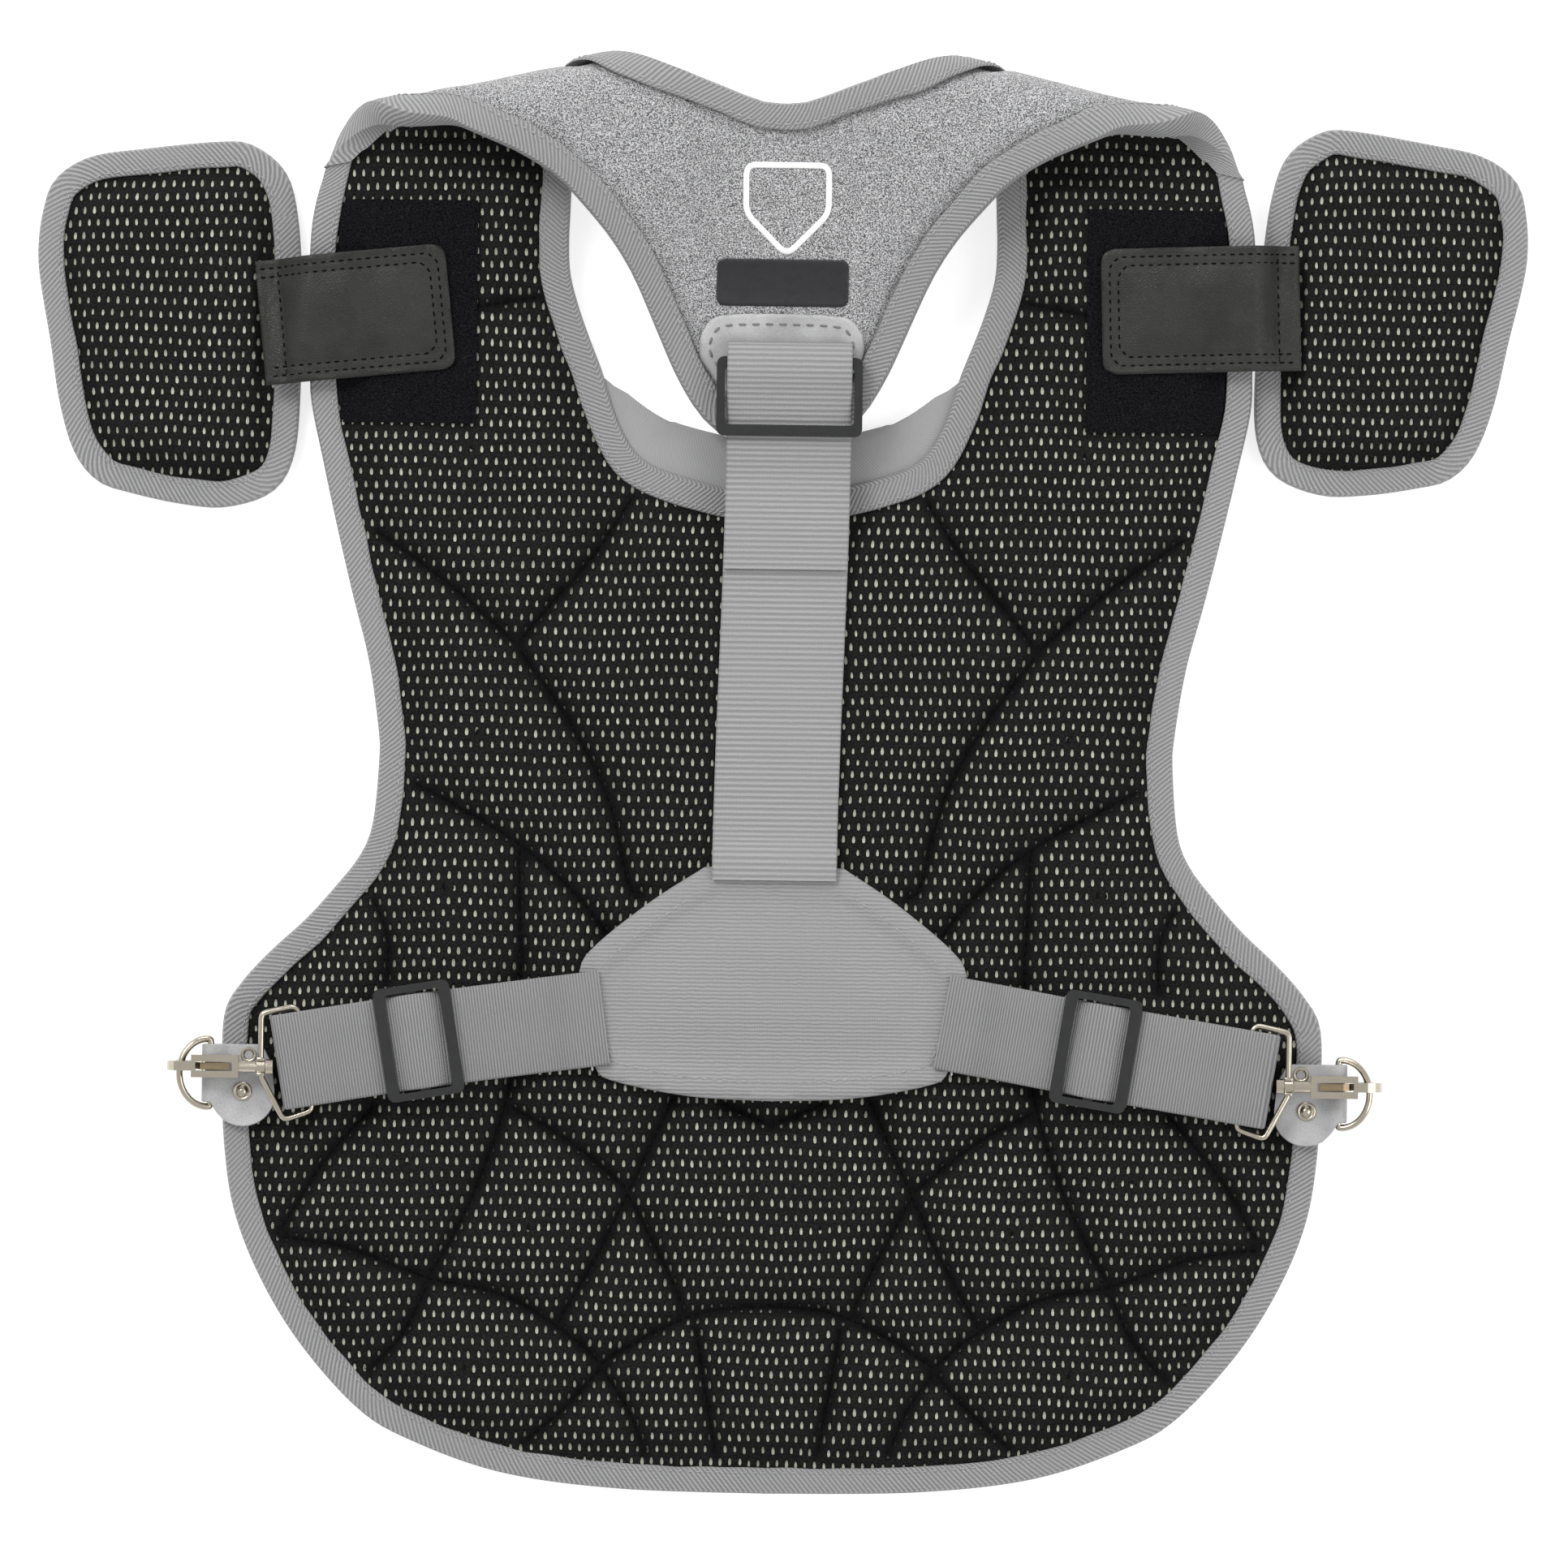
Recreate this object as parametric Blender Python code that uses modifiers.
"""Catcher's chest protector, lying on its outer face with the lining up.

Metres, +Z up, +Y towards the shoulders. The flat sheets are drawn in the plane of the pattern,
then lifted onto the curve in which the protector lies.
"""
import math

import bpy
import bmesh
from mathutils import Vector
from mathutils.geometry import delaunay_2d_cdt

# Driving sizes of the body, in metres
BODY_HALF_WIDTH = 0.220
BODY_LENGTH = 0.530
COVER_THICKNESS = 0.002
PAD_CROWN = 0.018
PAD_SEAM = 0.010
PAD_FLANGE = 0.002
EDGE_LIFT = 0.003
SIDE_CURL = 0.014
SHOULDER_RISE = 0.010
HEM_CURL = 0.005
CLEARANCE = 0.0003
RIM_SET = 0.001
PAD_RIM = 0.014
SEAM_END = 0.010

# Driving sizes of the edge tape
TAPE_THICKNESS = 0.0015
TAPE_LEG = 0.0085
NECK_TAPE_LEG = 0.0100
YOKE_TAPE_LEG = 0.0095
TAPE_GAP = 0.0005
NECK_BAND_WIDTH = 0.020
NECK_BAND_THICKNESS = 0.003

# Driving sizes of the yoke
YOKE_THICKNESS = 0.007
YOKE_PRESS = 0.0019
FOLD_RADIUS = 0.014
FOLD_LAP = 0.002
TAIL_HEIGHT = 0.016

# Driving sizes of webbing, patches and plate
WEB_THICKNESS = 0.002
BACK_WEB_WIDTH = 0.050
SIDE_WEB_WIDTH = 0.038
PLATE_THICKNESS = 0.003
PLATE_PUFF = 0.002
PLATE_HEM_RISE = 0.0008
PLATE_HEM_SLOPE = 0.003
PLATE_PUFF_START = 0.004
PLATE_PUFF_SLOPE = 0.025
LEATHER_THICKNESS = 0.0018
LOOP_PATCH_THICKNESS = 0.0012
SEAT_MARGIN = 0.002
SEAT_SLOPE = 0.010
STRAP_LIFT = 0.0012
TAIL_LIFT = 0.0006

# Driving sizes of the frames and the metal
GLIDE_BAR = 0.0046
GLIDE_SIDE = 0.0033
GLIDE_THICKNESS = 0.003
SLIDE_WIDTH = 0.031
SLIDE_BAR = 0.0045
SLIDE_SIDE = 0.003
SLIDE_THICKNESS = 0.0025
SLIDE_MIDDLE_BAR = 0.004
FRAME_CORNER = 0.003
WINDOW_CORNER = 0.0015
BAIL_WIRE = 0.0024
RING_WIRE = 0.0028
RING_HALF_HEIGHT = 0.0136
RING_REACH = 0.0115
RING_TILT = math.radians(15)
RING_ROOT = 0.0012
BAIL_EYE = (0.0033, 0.0072, 0.0056)
HOOK_LENGTH = 0.0377
HOOK_ARM_WIDTH = 0.0038
HOOK_BODY_WIDTH = 0.0090
HOOK_BODY_HEIGHT = 0.0060
HOOK_SLOT_WIDTH = 0.0036
BARREL_RADIUS = 0.0023
BARREL_START = 0.0022
BARREL_END = 0.29 * HOOK_LENGTH
POST_RADIUS = 0.0014
POST_LENGTH = 0.0075
POST_OUT = 0.0005
HEAD_RADIUS = 0.0030
HEAD_LENGTH = 0.0028
HEAD_IN = 0.0034
PIN_RADIUS = 0.0007
PIN_BORE = 0.0010
PIN_SHORT = 0.001
GATE_WIDTH = 0.0028
RIVET_RADIUS = 0.0039
EYELET_RADIUS = 0.0032
SHANK_RADIUS = 0.0016
RIVET_RIM = 0.0004
RIVET_SHOULDER = 0.0013
RIVET_DOME = 0.0018

# Driving sizes of the shoulder caps
CAP_HALF_WIDTH = 0.0532
CAP_HALF_LENGTH = 0.0735
CAP_CROWN = 0.018
CAP_SLOPE = 0.0066
CAP_FLAT = 0.0025
CAP_ROUND = 0.003
CAP_STRAP_WIDTH = 0.050
CAP_STRAP_LAP = 0.016
CAP_STRAP_CORNER = 0.014

# Where the rest face's centre lies, as a share of the body's length from the hem
REST_SHARE = 0.5445

# Mesh fineness: how far apart the points lie
BODY_STEP = 0.0245
EDGE_STEP = 0.0200
FOLD_STEPS = 9
FOLD_MARGIN = 0.004
RIM_GAP = 0.012
DEEP_GAP = 0.020
POINT_GAP = 0.004
SEAM_CLEAR = 0.003
YOKE_RIM_GAP = 0.0025
PATCH_EDGE_STEP = 0.007
PATCH_STEP = 0.011
BLANK_EDGE_STEP = 0.009
PLATE_STEP = 0.018
PLATE_RIM_GAP = 0.006
CAP_RIM_GAP = 0.006
CAP_DEEP_GAP = 0.007
CAP_STRAP_STEP = 0.012
CAP_STRAP_EDGE_STEP = 0.010
LOOP_STEP = 0.016
LOOP_EDGE_STEP = 0.013
ROUND_SIDES = 12
PIN_SIDES = 8
RIVET_SIDES = 10

# Levels above the draped floor of the body
FLANGE_TOP = EDGE_LIFT + COVER_THICKNESS + CLEARANCE + PAD_FLANGE
TAPE_WRAP = TAPE_GAP + TAPE_THICKNESS
TAPE_TOP = FLANGE_TOP + TAPE_WRAP
ON_PAD = PAD_CROWN + CLEARANCE
LOOP_SEAT = PAD_SEAM + SEAM_CLEAR

# Finished half outline of the body: shares of its half width and of its length from the hem
SIDE_ROWS = (
    # across, along
    (0.852, 0.971),
    (0.860, 0.946),
    (0.862, 0.903),
    (0.859, 0.856),
    (0.857, 0.824),
    (0.832, 0.775),
    (0.805, 0.726),
    (0.776, 0.677),
    (0.745, 0.628),
    (0.726, 0.578),
    (0.723, 0.554),
    (0.733, 0.505),
    (0.755, 0.480),
    (0.799, 0.456),
    (0.852, 0.431),
    (0.914, 0.407),
    (0.968, 0.382),
    (0.998, 0.358),
    (1.000, 0.309),
    (0.995, 0.260),
    (0.976, 0.211),
    (0.929, 0.162),
    (0.855, 0.112),
    (0.749, 0.063),
    (0.655, 0.039),
    (0.485, 0.014),
    (0.273, 0.0025),
    (0.000, 0.000),
)
SIDE_TOP_ACROSS = 0.834

# Finished half outline of the neck, from the lobe's top seam down to the middle
NECK_ROWS = (
    # across, along
    (0.388, 0.971),
    (0.390, 0.946),
    (0.387, 0.922),
    (0.371, 0.897),
    (0.351, 0.874),
    (0.329, 0.851),
    (0.309, 0.826),
    (0.290, 0.806),
    (0.263, 0.788),
    (0.229, 0.778),
    (0.188, 0.772),
    (0.146, 0.767),
    (0.095, 0.762),
    (0.000, 0.758),
)
NECK_TOP_ACROSS = 0.382

# Width of the ribbed neck band: share of its half length, share of its width
NECK_BAND_ROWS = (
    # along_edge, width
    (0.00, 1.00),
    (0.30, 0.98),
    (0.55, 0.94),
    (0.66, 0.86),
    (0.75, 0.66),
    (0.84, 0.40),
    (0.93, 0.16),
    (1.00, 0.05),
)
NECK_BAND_REACH = 0.49

# The shoulder fold: where its bend starts, at its inner and outer end
FOLD_INNER = (0.300, 1.0538)
FOLD_OUTER = (0.741, 1.0124)

# Neck edge of the yoke: its middle in the pattern, then its way round the fold
YOKE_NECK_ROWS = (
    # across, along
    (0.000, 1.0490),
    (0.028, 1.0498),
    (0.056, 1.0525),
    (0.084, 1.0572),
)
YOKE_NECK_FOLD_ROWS = (
    # share of the fold's span, share of its arc
    (-0.325, 0.02),
    (-0.180, 0.20),
    (-0.050, 0.38),
    (0.010, 0.50),
    (0.078, 0.64),
    (0.143, 0.82),
    (0.189, 1.00),
)

# Lower edge of the yoke: its way round the fold, then the V down to the tail
YOKE_LOWER_FOLD_ROWS = (
    # share of the fold's span, share of its arc
    (1.214, 1.00),
    (1.156, 0.82),
    (1.085, 0.66),
    (1.002, 0.478),
    (0.940, 0.30),
    (0.868, 0.18),
    (0.787, 0.12),
    (0.679, 0.05),
)
YOKE_LOWER_ROWS = (
    # across, along
    (0.550, 1.0217),
    (0.480, 1.0094),
    (0.412, 0.9920),
    (0.362, 0.9710),
    (0.313, 0.9470),
    (0.275, 0.9220),
    (0.247, 0.8970),
    (0.222, 0.8730),
    (0.195, 0.8480),
    (0.161, 0.8236),
    (0.118, 0.8040),
    (0.064, 0.7960),
    (0.000, 0.7945),
)

# Quilting of the pad, one side: each seam is a run of shares across and along
QUILT_SEAMS = {
    "lobe_line": ((-0.560, 0.895), (-0.423, 0.906)),
    "upper_left": ((-0.770, 0.735), (-0.711, 0.719), (-0.592, 0.683), (-0.474, 0.640)),
    "upper_right": ((-0.270, 0.753), (-0.341, 0.707), (-0.430, 0.664), (-0.474, 0.640)),
    "upper_stem": ((-0.471, 0.637), (-0.371, 0.578), (-0.304, 0.523), (-0.267, 0.462), (-0.245, 0.453)),
    "waist": ((-0.685, 0.541), (-0.578, 0.517), (-0.467, 0.490), (-0.371, 0.456), (-0.297, 0.419)),
    "waist_drop": ((-0.467, 0.487), (-0.462, 0.425), (-0.459, 0.398), (-0.474, 0.315), (-0.519, 0.247),
                   (-0.578, 0.192), (-0.622, 0.161)),
    "flank": ((-0.733, 0.450), (-0.703, 0.419), (-0.703, 0.385)),
    "hip": ((-0.725, 0.290), (-0.814, 0.247), (-0.888, 0.198), (-0.910, 0.192)),
    "hip_line": ((-0.910, 0.192), (-0.770, 0.183), (-0.622, 0.161), (-0.489, 0.149), (-0.371, 0.121),
                 (-0.304, 0.097)),
    "belly_left": ((-0.474, 0.290), (-0.371, 0.266), (-0.260, 0.229)),
    "belly_arc": ((-0.179, 0.299), (-0.223, 0.259), (-0.260, 0.226), (-0.312, 0.180), (-0.371, 0.137),
                  (-0.386, 0.124)),
    "belly_drop": ((-0.260, 0.226), (-0.208, 0.186), (-0.164, 0.149), (-0.157, 0.137)),
    "hem_arc": ((-0.304, 0.097), (-0.223, 0.118), (-0.120, 0.137), (0.000, 0.142)),
    "hem_outer": ((-0.622, 0.155), (-0.666, 0.118), (-0.733, 0.088)),
    "hem_left": ((-0.304, 0.094), (-0.371, 0.063), (-0.459, 0.032)),
    "hem_right": ((-0.304, 0.094), (-0.253, 0.063), (-0.223, 0.032)),
    "hem_middle": ((-0.131, 0.124), (-0.112, 0.075), (-0.090, 0.026)),
    "plate_notch": ((-0.090, 0.295), (0.000, 0.279)),
}

# Fleece patch on a shoulder lobe: its edges as shares across and along
LOOP_PATCH = {"inner": 0.555, "outer": 0.800, "low": 0.807, "high": 0.975}

# Half outline of the back plate
PLATE_ROWS = (
    # across, along
    (0.117, 0.4780),
    (0.130, 0.4735),
    (0.220, 0.4490),
    (0.320, 0.4155),
    (0.352, 0.3950),
    (0.346, 0.3570),
    (0.322, 0.3230),
    (0.290, 0.3120),
    (0.150, 0.3010),
    (0.000, 0.2980),
)
PLATE_HEM = 0.0095
PLATE_FLAT_END = (0.24, 0.04)
PLATE_END = 0.365

# Half outline of the leather patch on the tail
YOKE_PATCH_ROWS = (
    # across, along
    (0.000, 0.8925),
    (0.110, 0.8905),
    (0.142, 0.8800),
    (0.150, 0.8620),
    (0.126, 0.8450),
    (0.092, 0.8300),
    (0.050, 0.8215),
    (0.000, 0.8200),
)
# Plain patch above it: its edges as shares, its corners and thickness in metres
BLANK_PATCH = {"half_width": 0.120, "low": 0.8980, "high": 0.9330, "corner": 0.004, "thickness": 0.001}

# Tri-glide, and the back strap that goes through it: shares along the body
GLIDE_LOW = 0.8000
GLIDE_HIGH = 0.8600
STRAP_TURN = 0.8715
STRAP_LAP_END = 0.7000
STRAP_PLATE_END = 0.4650
GLIDE_DRIFT = 0.0034
STRAP_ON_PATCH = (0.850, 0.830, 0.812)
STRAP_OFF_TAIL = 0.795
TAIL_END = 0.800
STRAP_SLOPE = (0.770, 0.735)
STRAP_ON_PAD = (0.700, 0.640, 0.580, 0.520)
STRAP_AT_PLATE = (0.497, 0.482)
TURN_SHARE = 0.006
BAR_SHARE = 0.001

# Half outline of a shoulder cap, laid flat: shares of its half width and half length
CAP_ROWS = (
    # out, up
    (-0.96, 0.60),
    (-0.86, 0.84),
    (-0.62, 0.98),
    (-0.38, 1.00),
    (0.20, 0.955),
    (0.62, 0.905),
    (0.88, 0.78),
    (0.97, 0.60),
    (1.00, 0.40),
    (0.98, 0.22),
    (0.90, -0.10),
    (0.82, -0.45),
    (0.70, -0.72),
    (0.52, -0.87),
    (0.27, -0.93),
    (-0.10, -0.985),
    (-0.45, -1.00),
    (-0.80, -0.91),
    (-0.96, -0.70),
    (-1.00, -0.30),
    (-1.00, 0.20),
)

# Outer end of a side strap, from the swivel
STRAP_END = {"inward": 0.0059, "upward": 0.0015}

# How a side strap runs: lengths along it, and shares of the slide's half window
SIDE_RUN = {
    "off_plate": 0.010,
    "to_slide": 0.018,
    "past_bar": 0.001,
    "over_bar": 0.40,
    "to_bail": 0.028,
    "on_bail": 0.019,
    "fold": 0.004,
    "bulge": 0.003,
    "back_bail": 0.022,
    "back_slide": 0.020,
    "back_end": 0.3,
}

# The D-ring's bar lies this far outward of the swivel and below its middle
RING_BAR_OUT = 0.0205
RING_DOWN = 0.0029

# The ring's leather tab: places inward and upward from the ring's bar
TAB_HALF_WIDTH = 0.0116
TAB_LOBE = (0.0130, 0.0085)
TAB_LOBE_RADIUS = 0.0130
TAB_SHOULDER = (
    # inward, upward
    (0.0245, 0.0040),
    (0.0205, TAB_HALF_WIDTH),
)
TAB_STRIP_LENGTH = 0.030
TAB_NECK = 0.0075
RIVET_ROWS = (
    # inward, upward
    (0.0128, -0.0072),
    (0.0152, 0.0074),
)

# How the pad gives way round a tab: its middle from the swivel, its radius and slope
TAB_MIDDLE = (0.0085, -0.0045)
TAB_PRESS = 0.022
TAB_PRESS_SLOPE = 0.016
TAB_PRESS_RING = 0.013
TAPE_OUT = 0.012

# Where the fittings lie on each side: shares across and along, angles in degrees
SIDES = {
    "left": {
        "sign": -1,
        "cap": (1.1190, 0.8806),
        "cap_turn": 0.0,
        "cap_strap_inner": 0.6036,
        "cap_strap_along": 0.8955,
        "cap_strap_turn": -6.0,
        "strap_inner": (0.3060, 0.3597),
        "slide": (0.6434, 0.3403),
        "bail": (0.9262, 0.3196),
    },
    "right": {
        "sign": 1,
        "cap": (1.1120, 0.8986),
        "cap_turn": 3.0,
        "cap_strap_inner": 0.5811,
        "cap_strap_along": 0.8975,
        "cap_strap_turn": 2.0,
        "strap_inner": (0.3091, 0.3598),
        "slide": (0.5899, 0.3394),
        "bail": (0.9373, 0.3154),
    },
}


def across(share):
    """A place across the body, in metres from its middle."""
    return share * BODY_HALF_WIDTH


def along(share):
    """A place along the body, in metres from the middle of the rest face."""
    return (share - REST_SHARE) * BODY_LENGTH


def place(row):
    return Vector((across(row[0]), along(row[1])))


def ease(value):
    """A smooth step from 0 to 1."""
    value = min(max(value, 0.0), 1.0)
    return value * value * (3.0 - 2.0 * value)


def lie(x, y):
    """Height of the floor on which the body is draped."""
    out = abs(x) / BODY_HALF_WIDTH
    up = y / BODY_LENGTH
    side = SIDE_CURL * ease((out - 0.27) / 0.73) * (1.0 - 0.5 * ease(up / 0.30))
    shoulder = SHOULDER_RISE * ease((up - 0.26) / 0.20)
    hem = HEM_CURL * ease((-up - 0.30) / 0.24)
    return side + shoulder + hem


def drape(x, y, height):
    """A point of the pattern at a height above the draped floor."""
    return Vector((x, y, lie(x, y) + height))


# The frame of the shoulder fold
FOLD_START = place(FOLD_INNER)
FOLD_ALONG = (place(FOLD_OUTER) - FOLD_START).normalized()
FOLD_SPAN = (place(FOLD_OUTER) - FOLD_START).length
FOLD_OVER = Vector((-FOLD_ALONG.y, FOLD_ALONG.x))
FOLD_ARC = math.pi * FOLD_RADIUS + FOLD_LAP
SEAM_MIDDLE = (EDGE_LIFT + FLANGE_TOP) / 2.0


def fold_place(row):
    """A pattern place given by its share of the fold's span and arc."""
    return FOLD_START + FOLD_ALONG * (row[0] * FOLD_SPAN) + FOLD_OVER * (row[1] * FOLD_ARC)


def seam_along(x, clearance):
    """Where the lobe's top seam lies at a distance across, less a clearance."""
    foot = FOLD_START - FOLD_OVER * (FOLD_LAP + clearance)
    steps = (abs(x) - foot.x) / FOLD_ALONG.x
    return foot.y + FOLD_ALONG.y * steps


def crest_height(x):
    """Height of the yoke's middle surface where its bend starts."""
    reach = max(abs(x), FOLD_START.x)
    return lie(reach, seam_along(reach, 0.0)) + SEAM_MIDDLE + 2.0 * FOLD_RADIUS


def yoke_height(x, y):
    """Height of the yoke's middle surface before the fold."""
    tail = along(YOKE_LOWER_ROWS[-1][1])
    steps = (abs(x) - FOLD_START.x) / FOLD_ALONG.x
    crest = FOLD_START.y + FOLD_ALONG.y * max(steps, -0.5 * FOLD_SPAN)
    rise = ease((y - tail) / (crest - tail))
    return TAIL_HEIGHT + (crest_height(x) - TAIL_HEIGHT) * rise


def bend(x, y, height):
    """A point of the yoke's pattern at a height above its middle surface, bent over the fold."""
    side = -1.0 if x < 0.0 else 1.0
    point = Vector((abs(x), y))
    beyond = (point - FOLD_START).dot(FOLD_OVER)
    if beyond <= 0.0:
        return Vector((x, y, yoke_height(x, y) + height))
    foot = point - FOLD_OVER * beyond
    level = yoke_height(foot.x, foot.y)
    angle = min(beyond / FOLD_RADIUS, math.pi)
    lap = max(beyond - math.pi * FOLD_RADIUS, 0.0)
    out = (FOLD_RADIUS + height) * math.sin(angle) - lap
    drop = FOLD_RADIUS - (FOLD_RADIUS + height) * math.cos(angle)
    flat = foot + FOLD_OVER * out
    return Vector((side * flat.x, flat.y, level - drop))


def spline(rows, step, closed=False):
    """Points a step apart on a smooth curve through the rows."""
    count = len(rows)
    dense = []
    spans = count if closed else count - 1
    for index in range(spans):
        if closed:
            corners = [rows[(index + shift) % count] for shift in (-1, 0, 1, 2)]
        else:
            corners = [rows[min(max(index + shift, 0), count - 1)] for shift in (-1, 0, 1, 2)]
        before, start, end, after = [Vector(corner) for corner in corners]
        for part in range(12):
            t = part / 12.0
            pull = (end - before) * 0.5
            push = (after - start) * 0.5
            dense.append(start * (2 * t ** 3 - 3 * t ** 2 + 1) + pull * (t ** 3 - 2 * t ** 2 + t)
                         + end * (-2 * t ** 3 + 3 * t ** 2) + push * (t ** 3 - t ** 2))
    dense.append(Vector(rows[0] if closed else rows[-1]))
    return resample(dense, step, closed)


def resample(points, step, closed=False):
    """Points spaced evenly along a run of points; a closed run leaves its last one out."""
    lengths = [0.0]
    for first, second in zip(points, points[1:]):
        lengths.append(lengths[-1] + (second - first).length)
    total = lengths[-1]
    pieces = max(int(round(total / step)), 2)
    result = []
    index = 0
    for piece in range(pieces + 1):
        target = total * piece / pieces
        while index < len(points) - 2 and lengths[index + 1] < target:
            index += 1
        span = lengths[index + 1] - lengths[index]
        share = (target - lengths[index]) / span if span > 0.0 else 0.0
        result.append(points[index].lerp(points[index + 1], share))
    return result[:-1] if closed else result


def normals(points, closed=False):
    """Unit normals to the right of the way along the points."""
    result = []
    count = len(points)
    for index in range(count):
        before = points[index - 1] if closed or index > 0 else points[index]
        after = points[(index + 1) % count] if closed or index < count - 1 else points[index]
        way = (after - before).normalized()
        result.append(Vector((way.y, -way.x)))
    return result


def shifted(points, distance, closed=False):
    """The points moved to the left of the way along them."""
    return [point - normal * distance for point, normal in zip(points, normals(points, closed))]


def mirrored(points):
    return [Vector((-point.x, point.y)) for point in points]


def distance_to(runs, point):
    """The shortest distance from a point to the runs of points."""
    best = 10.0
    for run in runs:
        for first, second in zip(run, run[1:]):
            line = second - first
            share = (point - first).dot(line) / max(line.length_squared, 1e-12)
            nearest = first + line * min(max(share, 0.0), 1.0)
            best = min(best, (point - nearest).length)
    return best


def inside(outline, point):
    """Whether a point lies inside a closed outline."""
    odd = False
    for first, second in zip(outline, outline[1:] + outline[:1]):
        if (first.y > point.y) != (second.y > point.y):
            cut = first.x + (point.y - first.y) * (second.x - first.x) / (second.y - first.y)
            if point.x < cut:
                odd = not odd
    return odd


def lattice(outline, keep_off, step):
    """Staggered points inside an outline, half a step clear of the runs."""
    left = min(point.x for point in outline)
    right = max(point.x for point in outline)
    low = min(point.y for point in outline)
    high = max(point.y for point in outline)
    row_step = step * math.sqrt(3.0) / 2.0
    rows = int((high - low) / row_step) + 2
    half = int((right - left) / (2.0 * step)) + 2
    middle = (left + right) / 2.0
    found = []
    for row in range(rows):
        y = low + row * row_step
        shift = step / 2.0 if row % 2 else 0.0
        for column in range(-half, half + 1):
            point = Vector((middle + column * step + shift, y))
            if inside(outline, point) and distance_to(keep_off, point) > 0.55 * step:
                found.append(point)
    return found


def triangles(outline, points, runs=()):
    """Flat triangles that fill an outline, through the points and along the runs."""
    coords = list(outline)
    edges = [(index, (index + 1) % len(outline)) for index in range(len(outline))]
    coords += list(points)
    for run in runs:
        start = len(coords)
        coords += list(run)
        edges += [(start + index, start + index + 1) for index in range(len(run) - 1)]
    verts, _, faces, _, _, _ = delaunay_2d_cdt(coords, edges, [], 1, 1e-6)
    return verts, faces


def slab_mesh(outline, top, bottom, lift, top_points, bottom_points, runs=(), bottom_runs=()):
    """A closed solid between two height functions over one outline."""
    mesh = bmesh.new()
    rims = []
    for level, points, lines in ((top, top_points, runs), (bottom, bottom_points, bottom_runs)):
        flat, faces = triangles(outline, points, lines)
        made = [mesh.verts.new(lift(point.x, point.y, level(point.x, point.y))) for point in flat]
        for face in faces:
            mesh.faces.new([made[index] for index in face])
        near = {(round(point.x, 6), round(point.y, 6)): vert for point, vert in zip(flat, made)}
        rims.append([near[(round(point.x, 6), round(point.y, 6))] for point in outline])
    upper, lower = rims
    for index in range(len(outline)):
        after = (index + 1) % len(outline)
        mesh.faces.new((upper[index], upper[after], lower[after], lower[index]))
    return mesh


def ring_mesh(rings, closed=False):
    """A closed solid swept through rings of points, with both ends filled."""
    mesh = bmesh.new()
    made = [[mesh.verts.new(point) for point in ring] for ring in rings]
    pairs = list(zip(made, made[1:]))
    if closed:
        pairs.append((made[-1], made[0]))
    for first, second in pairs:
        for index in range(len(first)):
            after = (index + 1) % len(first)
            mesh.faces.new((first[index], first[after], second[after], second[index]))
    if not closed:
        mesh.faces.new(made[0])
        mesh.faces.new(list(reversed(made[-1])))
    return mesh


def finish(name, color, roughness, metallic=0.0):
    """A plain material for one object."""
    material = bpy.data.materials.new(name)
    material.use_nodes = True
    shader = material.node_tree.nodes["Principled BSDF"]
    shader.inputs["Base Color"].default_value = (*color, 1.0)
    shader.inputs["Roughness"].default_value = roughness
    shader.inputs["Metallic"].default_value = metallic
    material.diffuse_color = (*color, 1.0)
    return material


LOOKS = {
    "heather": ((0.46, 0.46, 0.46), 0.95, 0.0),
    "mesh": ((0.018, 0.019, 0.018), 0.9, 0.0),
    "tape": ((0.33, 0.33, 0.33), 0.9, 0.0),
    "webbing": ((0.32, 0.32, 0.32), 0.85, 0.0),
    "leather": ((0.40, 0.40, 0.40), 0.6, 0.0),
    "black_leather": ((0.010, 0.010, 0.010), 0.5, 0.0),
    "fleece": ((0.010, 0.010, 0.012), 1.0, 0.0),
    "patch": ((0.012, 0.013, 0.018), 0.7, 0.0),
    "plastic": ((0.022, 0.023, 0.025), 0.45, 0.0),
    "nickel": ((0.62, 0.58, 0.50), 0.22, 1.0),
}


def add_object(name, data, look):
    """Link a node to the scene with a material of its own."""
    node = bpy.data.objects.new(name, data)
    bpy.context.scene.collection.objects.link(node)
    color, roughness, metallic = LOOKS[look]
    data.materials.append(finish(name, color, roughness, metallic))
    return node


def add_solid(name, mesh, look):
    """Make a node from a bmesh, with its faces turned out."""
    bmesh.ops.recalc_face_normals(mesh, faces=mesh.faces)
    data = bpy.data.meshes.new(name)
    mesh.to_mesh(data)
    mesh.free()
    return add_object(name, data, look)


def start_clean():
    for node in list(bpy.data.objects):
        bpy.data.objects.remove(node, do_unlink=True)


# Outlines of the body


def finished_side(hidden=0.0):
    """The right side from the seam to the hem's middle, drawn in by a hidden distance."""
    top_x = across(SIDE_TOP_ACROSS)
    rows = [Vector((top_x, seam_along(top_x, CLEARANCE)))] + [place(row) for row in SIDE_ROWS]
    points = spline(rows, EDGE_STEP)
    moved = [point + normal * hidden for point, normal in zip(points, normals(points))]
    moved[0].y = seam_along(moved[0].x, CLEARANCE)
    moved[-1].x = 0.0
    return moved


def finished_neck(hidden=0.0):
    """The right side of the neck from the seam down to its middle, drawn in by a hidden distance."""
    top_x = across(NECK_TOP_ACROSS)
    rows = [Vector((top_x, seam_along(top_x, CLEARANCE)))] + [place(row) for row in NECK_ROWS]
    points = spline(rows, EDGE_STEP * 0.8)
    moved = [point - normal * hidden for point, normal in zip(points, normals(points))]
    moved[0].y = seam_along(moved[0].x, CLEARANCE)
    moved[-1].x = 0.0
    return moved


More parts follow.
